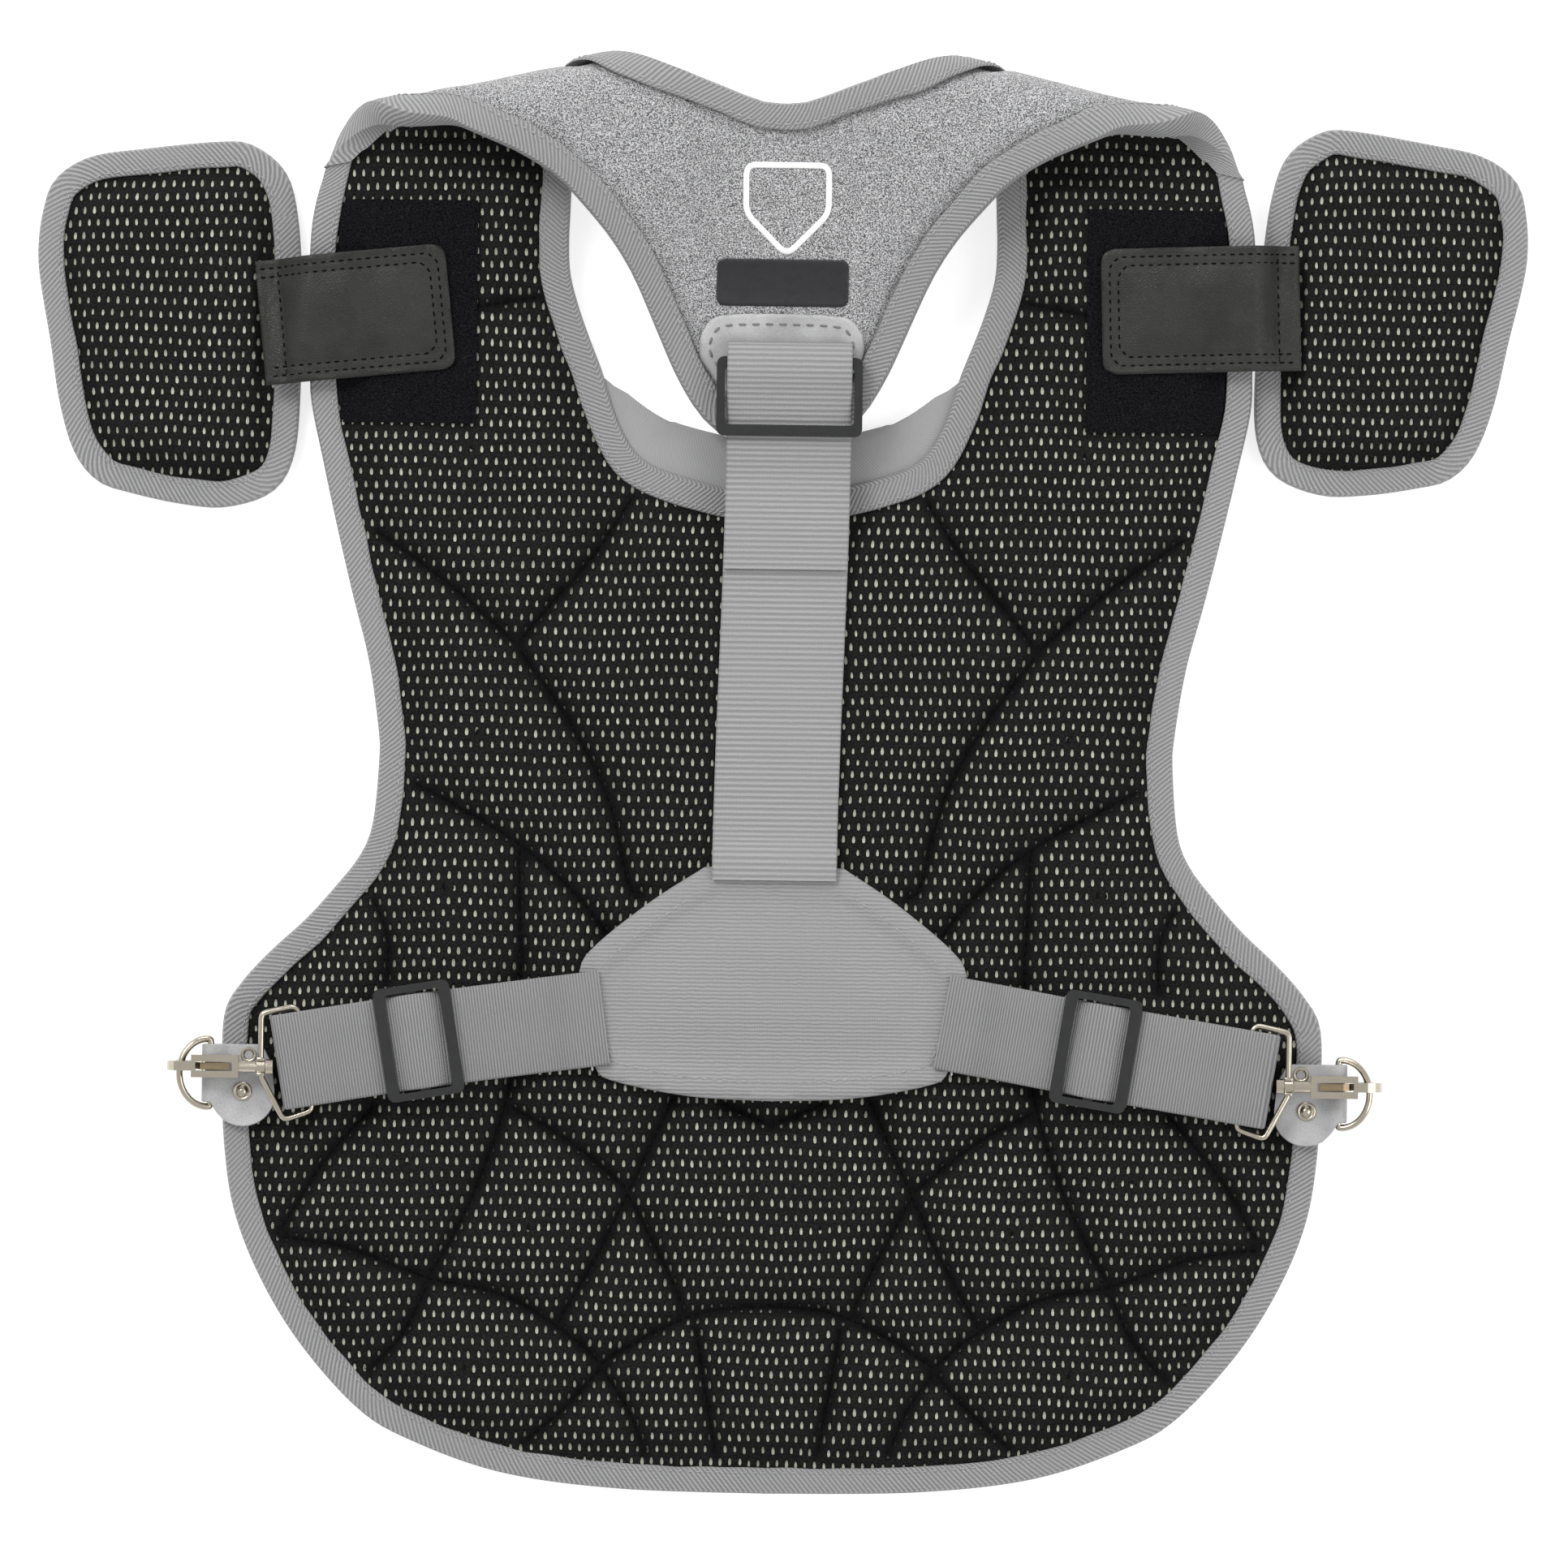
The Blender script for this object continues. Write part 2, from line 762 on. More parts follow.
def both_sides(half):
    """A run from the left end over the middle to the right end of a mirrored half."""
    return mirrored(half)[:-1] + list(reversed(half))


def body_sheet():
    """The outline of the body's cloth, inside its tape."""
    side = both_sides(finished_side(TAPE_WRAP))
    neck = both_sides(finished_neck(TAPE_WRAP))
    seam_right = straight(side[-1], neck[-1])
    seam_left = straight(neck[0], side[0])
    return side + seam_right + list(reversed(neck)) + seam_left


def straight(start, end):
    """Points between two ends, without the ends."""
    pieces = max(int((end - start).length / EDGE_STEP), 1)
    return [start.lerp(end, piece / pieces) for piece in range(1, pieces)]


def ring_inside(outline, distance):
    """Points at a distance inside a closed outline that runs anticlockwise."""
    loop = outline + outline[:1]
    found = []
    for point in shifted(outline, distance, closed=True):
        if inside(outline, point) and distance_to([loop], point) > 0.92 * distance:
            found.append(point)
    return found


def thinned(points, gap):
    """The points without those nearer than a gap to one kept before."""
    kept = []
    for point in points:
        if all((point - other).length > gap for other in kept):
            kept.append(point)
    return kept


class Body:
    """The shapes that the cover and the pad share."""

    def __init__(self):
        self.outline = body_sheet()
        self.loop = self.outline + self.outline[:1]
        self.flat_ring = thinned(ring_inside(self.outline, NECK_TAPE_LEG + 2.0 * RIM_SET), RIM_GAP)
        deep = NECK_TAPE_LEG + 2.0 * RIM_SET + PAD_RIM
        self.deep_ring = thinned(ring_inside(self.outline, deep), DEEP_GAP)
        self.rim = [self.flat_ring + self.flat_ring[:1]]
        rings = self.flat_ring + self.deep_ring
        off = [self.loop, self.flat_ring, self.deep_ring]
        self.coarse = rings + lattice(self.outline, off, BODY_STEP * 3.2)

    def edge_share(self, x, y):
        """0 on the flat flange, 1 past the pad's rounded rim."""
        reach = distance_to([self.loop], Vector((x, y)))
        return ease((reach - NECK_TAPE_LEG - RIM_SET) / PAD_RIM)

    def under_pad(self, x, y):
        """The seat of the pad on the cover, less their clearance."""
        return EDGE_LIFT * (1.0 - self.edge_share(x, y)) + COVER_THICKNESS


def build_front_cover(body):
    top = body.under_pad
    mesh = slab_mesh(body.outline, top, lambda x, y: top(x, y) - COVER_THICKNESS, drape,
                     body.coarse, body.coarse, body.rim, body.rim)
    add_solid("front_cover", mesh, "heather")


def quilt_runs(body):
    """The seams of both sides, with points a mesh step apart, clear of the flange."""
    runs = []
    for rows in QUILT_SEAMS.values():
        for sign in (1.0, -1.0):
            points = spline([place((sign * row[0], row[1])) for row in rows], BODY_STEP * 0.8)
            kept = [point for point in points
                    if distance_to([body.loop], point) > NECK_TAPE_LEG + SEAM_END]
            if len(kept) > 1:
                runs.append(kept)
    return runs


def loop_corners(sign, margin=0.0):
    """The corners of a fleece patch, anticlockwise, widened by a margin."""
    inner = across(LOOP_PATCH["inner"]) - margin
    outer = across(LOOP_PATCH["outer"]) + margin
    low = along(LOOP_PATCH["low"]) - margin
    high = along(LOOP_PATCH["high"]) + margin
    corners = [Vector((inner, low)), Vector((outer, low)), Vector((outer, high)), Vector((inner, high))]
    if sign < 0:
        corners = [Vector((-corner.x, corner.y)) for corner in reversed(corners)]
    return corners


def rectangle_run(corners, step):
    """Points a step apart round four corners, closed."""
    run = []
    for first, second in zip(corners, corners[1:] + corners[:1]):
        pieces = max(int((second - first).length / step), 1)
        run += [first.lerp(second, piece / pieces) for piece in range(pieces)]
    return run


def outside_rectangle(point, corners):
    """How far a point lies outside a rectangle, 0 inside it."""
    low_x = min(corner.x for corner in corners)
    high_x = max(corner.x for corner in corners)
    low_y = min(corner.y for corner in corners)
    high_y = max(corner.y for corner in corners)
    reach_x = max(low_x - point.x, point.x - high_x, 0.0)
    reach_y = max(low_y - point.y, point.y - high_y, 0.0)
    return math.hypot(reach_x, reach_y)


def tab_centre(side):
    """The middle of a ring tab's footprint."""
    bail = place(side["bail"])
    outward, upward = TAB_MIDDLE
    return Vector((side["sign"] * (bail.x + outward), bail.y + upward))


def build_chest_pad(body):
    seams = quilt_runs(body)
    presses = [tab_centre(side) for side in SIDES.values()]
    seats = [loop_corners(sign, SEAT_MARGIN) for sign in (1, -1)]
    seat_rings = [rectangle_run(seat, BODY_STEP) for seat in seats]

    def top(x, y):
        point = Vector((x, y))
        near = distance_to(seams, point)
        height = PAD_CROWN - (PAD_CROWN - PAD_SEAM) * (1.0 - ease(near / (0.8 * BODY_STEP)))
        for seat in seats:
            share = ease(outside_rectangle(point, seat) / SEAT_SLOPE)
            height = LOOP_SEAT + (height - LOOP_SEAT) * share
        edge = body.edge_share(x, y)
        for press in presses:
            edge = min(edge, ease(((point - press).length - TAB_PRESS) / TAB_PRESS_SLOPE))
        return FLANGE_TOP + (height - FLANGE_TOP) * edge

    press_points = []
    for press in presses:
        for radius in (TAB_PRESS, TAB_PRESS + TAB_PRESS_RING):
            for part in range(ROUND_SIDES):
                angle = math.tau * part / ROUND_SIDES
                point = press + Vector((math.cos(angle), math.sin(angle))) * radius
                if inside(body.outline, point) and distance_to([body.loop], point) > RIM_GAP:
                    press_points.append(point)
    fixed = thinned(body.flat_ring + body.deep_ring, POINT_GAP)
    seat_points = [point for ring in seat_rings for point in ring]
    off = [body.loop] + seams + [ring + ring[:1] for ring in seat_rings]
    free = [point for point in press_points if distance_to(off, point) > POINT_GAP]
    grid = [point for point in lattice(body.outline, off, BODY_STEP)
            if all((point - other).length > 0.5 * BODY_STEP for other in fixed + free + seat_points)]
    clear_seams = []
    for run in seams:
        kept = [point for point in run
                if all(outside_rectangle(point, seat) > SEAM_CLEAR for seat in seats)]
        if len(kept) > 1:
            clear_seams.append(kept)
    seat_runs = [ring + ring[:1] for ring in seat_rings]
    mesh = slab_mesh(body.outline, top, lambda x, y: body.under_pad(x, y) + CLEARANCE, drape,
                     fixed + free + grid, body.coarse, body.rim + seat_runs + clear_seams, body.rim)
    add_solid("chest_pad", mesh, "mesh")


def tape_mesh(edge, outward, low, high, leg, lift, closed=False):
    """A folded tape along an edge: two legs and the turn between them."""
    inner_low = low - TAPE_GAP
    inner_high = high + TAPE_GAP
    section = (
        (-leg, inner_high),
        (TAPE_GAP, inner_high),
        (TAPE_GAP, inner_low),
        (-leg, inner_low),
        (-leg, inner_low - TAPE_THICKNESS),
        (TAPE_GAP + TAPE_THICKNESS, inner_low - TAPE_THICKNESS),
        (TAPE_GAP + TAPE_THICKNESS, inner_high + TAPE_THICKNESS),
        (-leg, inner_high + TAPE_THICKNESS),
    )
    rings = []
    for point, way in zip(edge, outward):
        ring = []
        for out, height in section:
            flat = point + way * out
            ring.append(lift(flat.x, flat.y, height))
        rings.append(ring)
    return ring_mesh(rings, closed)


def seam_way(sign, outward):
    """The way along the lobe's top seam, outward or towards the neck."""
    way = FOLD_ALONG if outward else -FOLD_ALONG
    return Vector((sign * way.x, way.y))


def blend_ends(points, ways, first_way, last_way):
    """The ways across a tape, turned to the seam's way towards both ends."""
    reach = 2.2 * TAPE_LEG
    turned = []
    for point, way in zip(points, ways):
        for end, seam in ((points[0], first_way), (points[-1], last_way)):
            share = ease(1.0 - (point - end).length / reach)
            way = way.lerp(seam, share)
        turned.append(way.normalized())
    return turned


def build_body_tapes():
    side = both_sides(finished_side(TAPE_WRAP))
    outward = blend_ends(side, normals(side), seam_way(-1, True), seam_way(1, True))
    mesh = tape_mesh(side, outward, EDGE_LIFT, FLANGE_TOP, TAPE_LEG, drape)
    add_solid("body_edge_tape", mesh, "tape")
    neck = both_sides(finished_neck(TAPE_WRAP))
    outward = [-normal for normal in normals(neck)]
    outward = blend_ends(neck, outward, seam_way(-1, False), seam_way(1, False))
    mesh = tape_mesh(neck, outward, EDGE_LIFT, FLANGE_TOP, NECK_TAPE_LEG, drape)
    add_solid("neck_edge_tape", mesh, "tape")


def table_value(rows, share):
    """A value read from a table of two columns, straight between its rows."""
    for first, second in zip(rows, rows[1:]):
        if share <= second[0]:
            part = (share - first[0]) / (second[0] - first[0])
            return first[1] + (second[1] - first[1]) * part
    return rows[-1][1]


def build_neck_band():
    half = list(reversed(finished_neck()))
    length = sum((second - first).length for first, second in zip(half, half[1:]))
    reach = length * NECK_BAND_REACH
    points = resample(half, EDGE_STEP * 0.6)
    ways = normals(points)
    ways[0] = Vector((0.0, -1.0))
    near = []
    far = []
    walked = 0.0
    for index, point in enumerate(points):
        if index:
            walked += (point - points[index - 1]).length
        if walked > reach:
            break
        width = NECK_BAND_WIDTH * table_value(NECK_BAND_ROWS, walked / reach)
        near.append(point - ways[index] * CLEARANCE)
        far.append(point - ways[index] * (CLEARANCE + width))
    low = SEAM_MIDDLE - NECK_BAND_THICKNESS / 2.0
    high = SEAM_MIDDLE + NECK_BAND_THICKNESS / 2.0
    rings = []
    pairs = list(zip(near, far))
    left = [(Vector((-first.x, first.y)), Vector((-second.x, second.y))) for first, second in pairs]
    for first, second in list(reversed(left[1:])) + pairs:
        rings.append([drape(first.x, first.y, low), drape(second.x, second.y, low),
                      drape(second.x, second.y, high), drape(first.x, first.y, high)])
    add_solid("neck_band", ring_mesh(rings), "tape")


# Outlines of the yoke


def beyond_fold(point):
    """How far a point of the pattern lies beyond the start of the fold."""
    return (Vector((abs(point.x), point.y)) - FOLD_START).dot(FOLD_OVER)


def spread_on_flat(points):
    """The points with only every fourth one kept where the cloth lies flat."""
    kept = []
    for index, point in enumerate(points):
        flat = beyond_fold(point) < -FOLD_MARGIN
        if index in (0, len(points) - 1) or not flat or index % 4 == 0:
            kept.append(point)
    return kept


def yoke_neck(hidden=0.0):
    """The right half of the yoke's neck edge, from its middle round the fold to the seam."""
    rows = [place(row) for row in YOKE_NECK_ROWS] + [fold_place(row) for row in YOKE_NECK_FOLD_ROWS]
    points = spread_on_flat(spline(rows, FOLD_ARC / FOLD_STEPS))
    moved = [point + normal * hidden for point, normal in zip(points, normals(points))]
    moved[0].x = 0.0
    return on_seam(moved)


def yoke_lower(hidden=0.0):
    """The right half of the yoke's lower edge, from the tail's middle round the fold to the seam."""
    rows = [fold_place(row) for row in YOKE_LOWER_FOLD_ROWS] + [place(row) for row in YOKE_LOWER_ROWS]
    points = spread_on_flat(list(reversed(spline(rows, FOLD_ARC / FOLD_STEPS))))
    moved = [point - normal * hidden for point, normal in zip(points, normals(points))]
    moved[0].x = 0.0
    return on_seam(moved)


def on_seam(points):
    """The points with the last one put back on the end of the fold's arc."""
    last = points[-1]
    beyond = (last - FOLD_START).dot(FOLD_OVER)
    points[-1] = last + FOLD_OVER * (FOLD_ARC - beyond)
    return points


def yoke_grid(outline, off):
    """Points of the yoke: fine steps round the fold, wider ones on the flat."""
    step = FOLD_ARC / FOLD_STEPS
    found = []
    for sign in (1.0, -1.0):
        for level in range(0, FOLD_STEPS):
            for column in range(-4, 12):
                place_in_fold = ((column + 0.5 * (level % 2)) * 0.15, level / FOLD_STEPS)
                point = fold_place(place_in_fold)
                point.x *= sign
                if sign * point.x > 0.0 and inside(outline, point):
                    if distance_to(off, point) > 0.8 * step:
                        found.append(point)
    for point in lattice(outline, off, step * 3.2):
        if beyond_fold(point) < -0.8 * step:
            found.append(point)
    return found


def build_yoke():
    neck = yoke_neck(TAPE_WRAP)
    lower = yoke_lower(TAPE_WRAP)
    seam = straight(lower[-1], neck[-1])
    right = lower + seam + list(reversed(neck))
    left = mirrored(list(reversed(right)))
    outline = right + left[1:-1]
    loop = outline + outline[:1]
    ring = thinned(ring_inside(outline, YOKE_TAPE_LEG), YOKE_RIM_GAP)
    rim = [ring + ring[:1]]
    grid = yoke_grid(outline, [loop] + rim)

    def top(x, y):
        taped = distance_to([loop], Vector((x, y))) < YOKE_TAPE_LEG + CLEARANCE
        return YOKE_THICKNESS / 2.0 - (YOKE_PRESS if taped else 0.0)

    mesh = slab_mesh(outline, top, lambda x, y: -top(x, y), bend, ring + grid, ring + grid, rim, rim)
    add_solid("yoke", mesh, "heather")
    tape_run("yoke_neck_tape", neck, TAPE_LEG, False)
    tape_run("yoke_lower_tape", lower, YOKE_TAPE_LEG, True)


def tape_run(name, half_edge, leg, lower):
    """A yoke tape over both sides of a half edge that starts at its middle."""
    edge = mirrored(list(reversed(half_edge)))[:-1] + half_edge
    outward = normals(edge) if lower else [-normal for normal in normals(edge)]
    outward = blend_ends(edge, outward, seam_way(-1, lower), seam_way(1, lower))
    half = YOKE_THICKNESS / 2.0
    mesh = tape_mesh(edge, outward, -half, half, leg, bend)
    add_solid(name, mesh, "tape")


def half_to_outline(rows, step):
    """A closed anticlockwise outline from half rows that run from the top to the bottom middle."""
    half = [place(row) for row in rows]
    points = spline(half, step)
    points[0].x = 0.0
    points[-1].x = 0.0
    return mirrored(points) + list(reversed(points))[1:-1]


def build_patches():
    """The leather patch and the blank patch on the yoke's upper face."""
    seat = YOKE_THICKNESS / 2.0 + CLEARANCE
    outline = half_to_outline(YOKE_PATCH_ROWS, PATCH_EDGE_STEP)
    points = lattice(outline, [outline + outline[:1]], PATCH_STEP)
    mesh = slab_mesh(outline, lambda x, y: seat + LEATHER_THICKNESS, lambda x, y: seat, bend,
                     points, points)
    add_solid("yoke_patch", mesh, "leather")
    corners = rounded_rectangle(across(BLANK_PATCH["half_width"]), along(BLANK_PATCH["low"]),
                                along(BLANK_PATCH["high"]), BLANK_PATCH["corner"])
    outline = rectangle_run(corners, BLANK_EDGE_STEP)
    points = lattice(outline, [outline + outline[:1]], PATCH_STEP)
    top = seat + BLANK_PATCH["thickness"]
    mesh = slab_mesh(outline, lambda x, y: top, lambda x, y: seat, bend, points, points)
    add_solid("blank_patch", mesh, "patch")


def rounded_rectangle(half_width, low, high, radius):
    """The points of an anticlockwise outline with rounded corners."""
    corners = ((half_width, low, -90), (half_width, high, 0), (-half_width, high, 90),
               (-half_width, low, 180))
    outline = []
    for x, y, start in corners:
        centre = Vector((x - math.copysign(radius, x), y + (radius if y == low else -radius)))
        for part in range(4):
            angle = math.radians(start + 30 * part)
            outline.append(centre + Vector((math.cos(angle), math.sin(angle))) * radius)
    return outline


# Webbing and frames


def strap_mesh(points, ways, width, thickness):
    """A flat strap: its middle points, the way across it, its width and thickness."""
    rings = []
    for index, point in enumerate(points):
        before = points[max(index - 1, 0)]
        after = points[min(index + 1, len(points) - 1)]
        run = (after - before).normalized()
        side = ways[index]
        up = side.cross(run).normalized()
        half = side * (width / 2.0)
        lift = up * (thickness / 2.0)
        rings.append([point - half - lift, point + half - lift, point + half + lift,
                      point - half + lift])
    return ring_mesh(rings)


TAIL_TOP = TAIL_HEIGHT + YOKE_THICKNESS / 2.0
PATCH_TOP = TAIL_TOP + CLEARANCE + LEATHER_THICKNESS


def patch_level(share):
    """Height of the leather patch's upper face in the middle, at a share along."""
    return yoke_height(0.0, along(share)) + PATCH_TOP - TAIL_HEIGHT


def glide_level(share):
    """Height of the tri-glide's flat underside: over two layers at its low bar, one at its high bar."""
    low = patch_level(GLIDE_LOW) + 2.0 * WEB_THICKNESS + 4.0 * CLEARANCE
    high = patch_level(GLIDE_HIGH) + WEB_THICKNESS + 4.0 * CLEARANCE
    part = (share - GLIDE_LOW) / (GLIDE_HIGH - GLIDE_LOW)
    return low + (high - low) * part


def strap_drift(share):
    """How far the vertical strap has drifted to the right at a share along."""
    return GLIDE_DRIFT * ease((share - STRAP_PLATE_END) / (GLIDE_LOW - STRAP_PLATE_END))


def build_back_strap():
    """Webbing from its lap end up through the tri-glide, round, and down to the plate."""
    half = WEB_THICKNESS / 2.0
    gap = CLEARANCE
    plate_top = ON_PAD + PLATE_THICKNESS + PLATE_HEM_RISE
    on_patch = (STRAP_TURN - TURN_SHARE,) + STRAP_ON_PATCH
    off_tail = patch_level(TAIL_END) + gap + half
    slope_high, slope_low = STRAP_SLOPE
    plate_foot, plate_edge = STRAP_AT_PLATE
    lower = [(share, patch_level(share) + gap + half) for share in on_patch]
    lower += [(STRAP_OFF_TAIL, off_tail), (slope_high, TAIL_TOP + TAIL_LIFT),
              (slope_low, ON_PAD + STRAP_LIFT + half)]
    lower += [(share, ON_PAD + gap + half) for share in STRAP_ON_PAD]
    lower += [(plate_foot, ON_PAD + 3.0 * gap + half), (plate_edge, plate_top + 2.0 * gap + half),
              (STRAP_PLATE_END, plate_top + 2.0 * gap + half)]
    step = WEB_THICKNESS + gap
    bar = GLIDE_BAR / BODY_LENGTH
    over_glide = GLIDE_THICKNESS + 2.0 * gap + half
    under_bar = GLIDE_LOW + bar + BAR_SHARE
    middle_share = (GLIDE_LOW + GLIDE_HIGH) / 2.0
    before_bar = GLIDE_HIGH - bar - 4.0 * BAR_SHARE
    past_bar = GLIDE_HIGH + 2.0 * BAR_SHARE
    upper = [
        (STRAP_LAP_END, ON_PAD + gap + half + step),
        (slope_low, ON_PAD + STRAP_LIFT + half + step),
        (slope_high, TAIL_TOP + TAIL_LIFT + step),
        (STRAP_OFF_TAIL - 2.0 * BAR_SHARE, off_tail + step),
        (GLIDE_LOW, glide_level(GLIDE_LOW) - 1.5 * gap - half),
        (under_bar, glide_level(GLIDE_LOW + bar) - 1.5 * gap - half),
        (middle_share, glide_level(middle_share) + 0.5 * GLIDE_THICKNESS),
        (before_bar, over_glide + glide_level(before_bar)),
        (past_bar, over_glide + glide_level(past_bar)),
    ]
    points = [Vector((strap_drift(share), along(share), level)) for share, level in upper]
    start = points[-1]
    end = Vector((GLIDE_DRIFT, along(lower[0][0]), lower[0][1]))
    middle = (start + end) / 2.0
    reach = along(STRAP_TURN) - half - middle.y
    turn = []
    for part in range(1, 6):
        angle = math.pi * part / 6
        blend = start.lerp(end, 0.5 - 0.5 * math.cos(angle))
        out = (reach + middle.y - blend.y) * math.sin(angle)
        turn.append(Vector((GLIDE_DRIFT, blend.y + out, blend.z)))
    points += turn
    points += [Vector((strap_drift(share), along(share), level)) for share, level in lower]
    ways = [Vector((1.0, 0.0, 0.0))] * len(points)
    add_solid("back_strap", strap_mesh(points, ways, BACK_WEB_WIDTH, WEB_THICKNESS), "webbing")


def frame_curve(name, half_width, low, high, side, bar, thickness, look):
    """A rounded frame with one window, as a filled flat curve with a thickness."""
    curve = bpy.data.curves.new(name, "CURVE")
    curve.dimensions = "2D"
    curve.fill_mode = "BOTH"
    curve.extrude = thickness / 2.0
    outer = rounded_rectangle(half_width, low, high, FRAME_CORNER)
    window = rounded_rectangle(half_width - side, low + bar, high - bar, WINDOW_CORNER)
    for run in (outer, window):
        line = curve.splines.new("POLY")
        line.points.add(len(run) - 1)
        for knot, point in zip(line.points, run):
            knot.co = (point.x, point.y, 0.0, 1.0)
        line.use_cyclic_u = True
    return add_object(name, curve, look)


def to_mesh_object(node):
    """Turn a curve object into a mesh object with the same name and material."""
    data = bpy.data.meshes.new_from_object(node.evaluated_get(bpy.context.evaluated_depsgraph_get()))
    welded = bmesh.new()
    welded.from_mesh(data)
    bmesh.ops.remove_doubles(welded, verts=welded.verts, dist=1e-6)
    bmesh.ops.recalc_face_normals(welded, faces=welded.faces)
    welded.to_mesh(data)
    welded.free()
    name = node.name
    material = node.data.materials[0]
    place_before = node.matrix_world.copy()
    bpy.data.objects.remove(node, do_unlink=True)
    data.name = name
    data.materials.clear()
    data.materials.append(material)
    mesh = bpy.data.objects.new(name, data)
    mesh.matrix_world = place_before
    bpy.context.scene.collection.objects.link(mesh)
    return mesh


def box(name, centre, size):
    """A box primitive."""
    bpy.ops.mesh.primitive_cube_add(size=1.0, location=centre)
    node = bpy.context.object
    node.name = name
    node.scale = size
    bpy.ops.object.transform_apply(location=False, rotation=False, scale=True)
    return node


def rod(name, centre, radius, depth, axis, sides=12):
    """A cylinder primitive along X, Y or Z."""
    turns = {"x": (0.0, math.pi / 2.0, 0.0), "y": (math.pi / 2.0, 0.0, 0.0), "z": (0.0, 0.0, 0.0)}
    bpy.ops.mesh.primitive_cylinder_add(vertices=sides, radius=radius, depth=depth,
                                        location=centre, rotation=turns[axis])
    node = bpy.context.object
    node.name = name
    return node


def cut_or_join(node, tools, operation):
    """Apply an exact Boolean with each tool, then remove the tools."""
    for tool in tools:
        change = node.modifiers.new("step", "BOOLEAN")
        change.operation = operation
        change.solver = "EXACT"
        change.object = tool
        bpy.context.view_layer.update()
        graph = bpy.context.evaluated_depsgraph_get()
        data = bpy.data.meshes.new_from_object(node.evaluated_get(graph))
        node.modifiers.clear()
        old = node.data
        data.name = node.name
        material = old.materials[0] if old.materials else None
        node.data = data
        data.materials.clear()
        if material:
            data.materials.append(material)
        bpy.data.objects.remove(tool, do_unlink=True)
    return node


def build_tri_glide():
    """The frame on the tail, with the hidden middle bar that the webbing goes over."""
    low = along(GLIDE_LOW)
    high = along(GLIDE_HIGH)
    centre = (low + high) / 2.0
    half_width = BACK_WEB_WIDTH / 2.0 + 3.0 * CLEARANCE + GLIDE_SIDE
    frame = frame_curve("tri_glide", half_width, low - centre, high - centre, GLIDE_SIDE, GLIDE_BAR,
                        GLIDE_THICKNESS, "plastic")
    start = glide_level(GLIDE_LOW)
    end = glide_level(GLIDE_HIGH)
    slope = math.atan2(end - start, high - low)
    frame.location = (GLIDE_DRIFT, centre, (start + end + GLIDE_THICKNESS) / 2.0)
    frame.rotation_euler = (slope, 0.0, 0.0)


def build_back_plate():
    outline = half_to_outline(PLATE_ROWS, 2.0 * PLATE_RIM_GAP)
    loop = outline + outline[:1]
    hem_ring = thinned(ring_inside(outline, PLATE_HEM), PLATE_RIM_GAP)
    inner_ring = thinned(ring_inside(outline, PLATE_HEM + PLATE_HEM_SLOPE), PLATE_RIM_GAP)
    points = hem_ring + inner_ring + lattice(outline, [loop, hem_ring, inner_ring], PLATE_STEP)

    def top(x, y):
        reach = distance_to([loop], Vector((x, y)))
        hem = 1.0 - ease((reach - PLATE_HEM) / PLATE_HEM_SLOPE)
        puff = ease((reach - PLATE_HEM - PLATE_PUFF_START) / PLATE_PUFF_SLOPE)
        flat_from, flat_reach = PLATE_FLAT_END
        ends = 1.0 - ease((abs(x) / BODY_HALF_WIDTH - flat_from) / flat_reach)
        return ON_PAD + PLATE_THICKNESS + PLATE_HEM_RISE * hem + PLATE_PUFF * puff * ends

    bottom_points = lattice(outline, [loop], 5.0 * PLATE_RIM_GAP)
    mesh = slab_mesh(outline, top, lambda x, y: ON_PAD, drape, points, bottom_points)
    add_solid("back_plate", mesh, "webbing")


# The side straps, their slides, bails and hooks


BAIL_LEVEL = ON_PAD + WEB_THICKNESS + CLEARANCE + BAIL_WIRE / 2.0


def strap_path(side):
    """The flat middle points of a side strap, from the plate out to its fold."""
    sign = side["sign"]
    inner = place(side["strap_inner"])
    slide = place(side["slide"])
    bail = place(side["bail"])
    end = Vector((bail.x - STRAP_END["inward"], bail.y + STRAP_END["upward"]))
    return [Vector((sign * point.x, point.y)) for point in (inner, slide, end)]


def slide_bar_rise():
    """Height of the slide's middle bar, which the strap goes over."""
    return WEB_THICKNESS + 2.0 * CLEARANCE + 0.2 * SLIDE_THICKNESS


